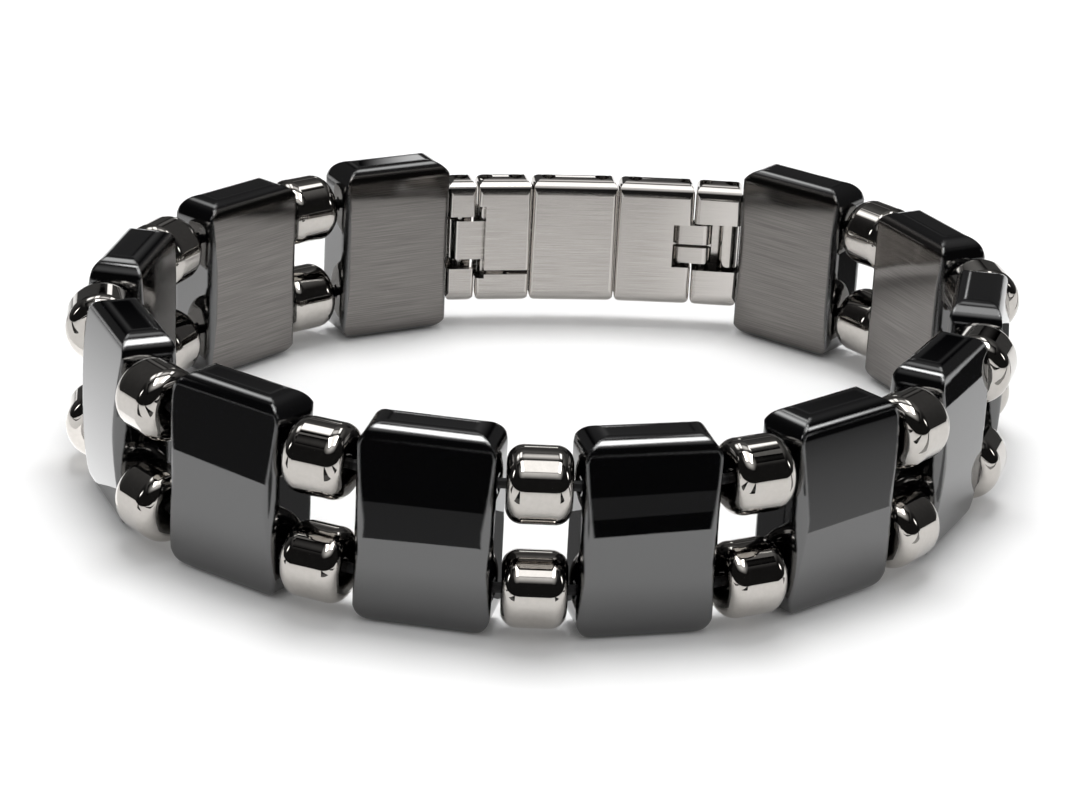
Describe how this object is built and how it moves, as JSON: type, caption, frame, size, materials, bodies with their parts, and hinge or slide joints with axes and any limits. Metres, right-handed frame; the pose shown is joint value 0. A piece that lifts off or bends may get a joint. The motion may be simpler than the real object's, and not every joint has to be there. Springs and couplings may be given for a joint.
{
  "type": "hematite link bracelet",
  "caption": "Bracelet of polished hematite blocks joined by pairs of steel barrel beads on two threads, closed by a hinged steel plate clasp; stands on its rim with the wrist opening clear.",
  "frame": {"origin": "middle of the bounding box's bottom, on the surface that the bracelet stands on", "axes": "+Z along the wrist's axis, upwards; -Y towards the front of the band; +Y towards the clasp; +X to the right seen from the front"},
  "size_m": [0.076, 0.069, 0.0154],
  "materials": {
    "hematite": "mirror polished outside, satin on the inner faces",
    "bead_steel": "mirror polished",
    "clasp_steel": "brushed on the faces, polished on the rounded edges",
    "thread": "smooth"
  },
  "bodies": {
    "root": {"block_01": "hematite", "block_02": "hematite", "block_03": "hematite", "block_04": "hematite", "block_05": "hematite", "block_06": "hematite", "block_07": "hematite", "block_08": "hematite", "block_09": "hematite", "block_10": "hematite", "block_11": "hematite", "block_12": "hematite", "bead_01_up": "bead_steel", "bead_02_up": "bead_steel", "bead_03_up": "bead_steel", "bead_04_up": "bead_steel", "bead_05_up": "bead_steel", "bead_06_up": "bead_steel", "bead_07_up": "bead_steel", "bead_08_up": "bead_steel", "bead_09_up": "bead_steel", "bead_10_up": "bead_steel", "bead_11_up": "bead_steel", "bead_01_low": "bead_steel", "bead_02_low": "bead_steel", "bead_03_low": "bead_steel", "bead_04_low": "bead_steel", "bead_05_low": "bead_steel", "bead_06_low": "bead_steel", "bead_07_low": "bead_steel", "bead_08_low": "bead_steel", "bead_09_low": "bead_steel", "bead_10_low": "bead_steel", "bead_11_low": "bead_steel", "thread_up": "thread", "thread_low": "thread", "clasp_end_right": "clasp_steel", "clasp_notched": "clasp_steel", "clasp_mid": "clasp_steel", "clasp_frame": "clasp_steel", "clasp_end_left": "clasp_steel", "clasp_knuckle": "clasp_steel", "hinge_3": "clasp_steel", "hinge_2": "clasp_steel", "hinge_1": "clasp_steel", "clasp_bar": "bead_steel"}
  },
  "joints": []
}
